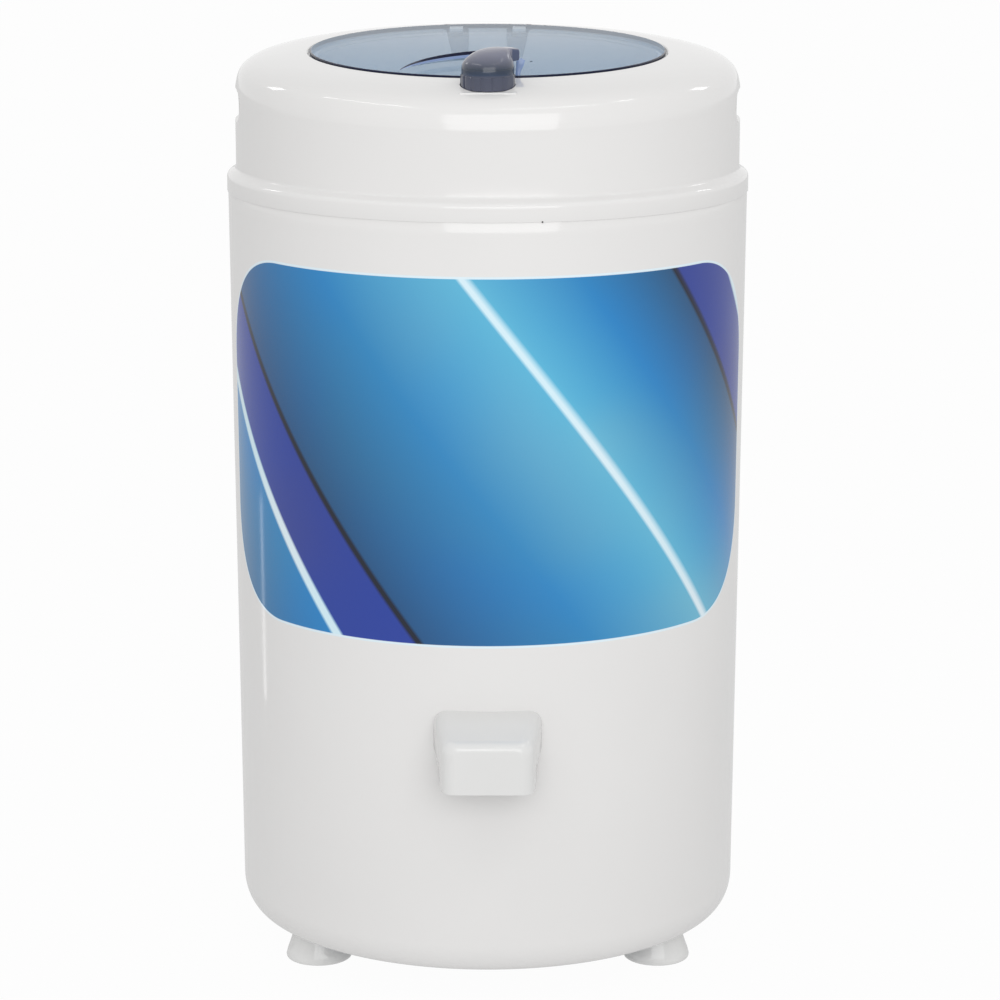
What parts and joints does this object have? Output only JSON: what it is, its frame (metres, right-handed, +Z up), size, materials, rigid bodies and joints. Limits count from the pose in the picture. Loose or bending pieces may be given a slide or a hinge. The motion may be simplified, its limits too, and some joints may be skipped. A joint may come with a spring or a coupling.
{
  "type": "laundry spin dryer",
  "caption": "Round spin dryer with a tinted hinged lid, a locking knob, a front drain spout and a perforated drum on a sprung motor.",
  "frame": {"origin": "on the floor, below the middle of the whole outline", "axes": "+Z up, the spout and the knob face -Y, +X is to the right seen from the front"},
  "size_m": [0.374, 0.41, 0.6713],
  "materials": {
    "white_shell": "glossy white moulded plastic",
    "lid_tint": "clear plastic with a blue-grey tint",
    "knob_tint": "dark slate-blue translucent plastic",
    "grey_plastic": "pale grey moulded plastic",
    "black_plastic": "black moulded plastic",
    "steel": "zinc-plated steel",
    "stainless": "brushed stainless sheet",
    "cast_aluminium": "cast and lightly blasted",
    "copper": "enamelled winding wire",
    "rubber": "black moulded rubber"
  },
  "bodies": {
    "cabinet": {"outer_casing": "white_shell", "top_cover": "white_shell", "mouth_collar": "white_shell", "base_pan": "steel", "foot_1": "white_shell", "foot_2": "white_shell", "foot_3": "white_shell", "spring_seat_1": "black_plastic", "spring_seat_2": "black_plastic", "spring_seat_3": "black_plastic", "run_capacitor": "black_plastic", "cord_gland": "black_plastic", "tub": "grey_plastic", "tub_seal": "rubber", "tub_cover": "grey_plastic", "drain_elbow": "rubber", "outlet_spout": "white_shell", "shaft_bellows": "rubber", "hinge_bracket_left": "grey_plastic", "hinge_bracket_right": "grey_plastic", "hinge_pin_left": "steel", "hinge_pin_right": "steel", "knob_plate": "steel", "micro_switch": "black_plastic", "brake_cable": "black_plastic", "cable_stop": "steel", "suspension_spring_1": "steel", "suspension_spring_2": "steel", "suspension_spring_3": "steel"},
    "lid": {"lid": "lid_tint", "lid_catch": "grey_plastic"},
    "knob": {"knob": "knob_tint", "knob_pointer": "knob_tint", "knob_shaft": "grey_plastic", "lock_cam": "steel", "switch_cam": "grey_plastic", "cable_arm": "steel"},
    "switch_plunger": {"switch_plunger": "grey_plastic"},
    "motor_unit": {"motor_platform": "steel", "motor_lower_shield": "cast_aluminium", "motor_upper_shield": "cast_aluminium", "stator_core": "steel", "stator_winding_lower": "copper", "stator_winding_upper": "copper", "bearing_lower": "steel", "bearing_upper": "steel", "brake_pivot": "steel"},
    "brake": {"brake_lever": "steel", "brake_shoe": "rubber"},
    "spin_drum": {"drum_wall": "stainless", "drum_floor": "grey_plastic", "drum_rim": "grey_plastic", "drum_nut": "grey_plastic", "drum_shaft": "steel", "rotor_core": "steel", "brake_drum": "cast_aluminium"}
  },
  "joints": [
    {"name": "lid_hinge", "type": "hinge", "parent": "cabinet", "child": "lid", "pos_m": [0, 0.15002, 0.66049], "axis": [-1, 0, 0], "range_deg": [0, 95]},
    {"name": "knob_turn", "type": "hinge", "parent": "cabinet", "child": "knob", "pos_m": [0, -0.12769, 0.64392], "axis": [0, -0.056, 0.9984], "range_deg": [0, 80]},
    {"name": "switch_press", "type": "slide", "parent": "cabinet", "child": "switch_plunger", "axis": [1, 0, 0], "range_m": [0, 0.0025]},
    {"name": "suspension", "type": "slide", "parent": "cabinet", "child": "motor_unit", "axis": [0, 0, 1], "range_m": [-0.008, 0.004], "stiffness_N_per_m": 20000, "springref_m": 0.00517, "deforming": ["suspension_spring_1", "suspension_spring_2", "suspension_spring_3", "shaft_bellows"]},
    {"name": "drum_spin", "type": "hinge", "parent": "motor_unit", "child": "spin_drum", "pos_m": [0, 0.018, 0.3], "axis": [0, 0, 1], "continuous": true},
    {"name": "brake_release", "type": "hinge", "parent": "motor_unit", "child": "brake", "pos_m": [0.05, -0.024, 0.067], "axis": [0, 0, 1], "range_deg": [0, 8]}
  ],
  "couplings": [
    {"joint": "switch_press", "follows": "knob_turn", "m_per_rad": 0.0017905},
    {"joint": "brake_release", "follows": "knob_turn", "ratio": 0.1}
  ]
}
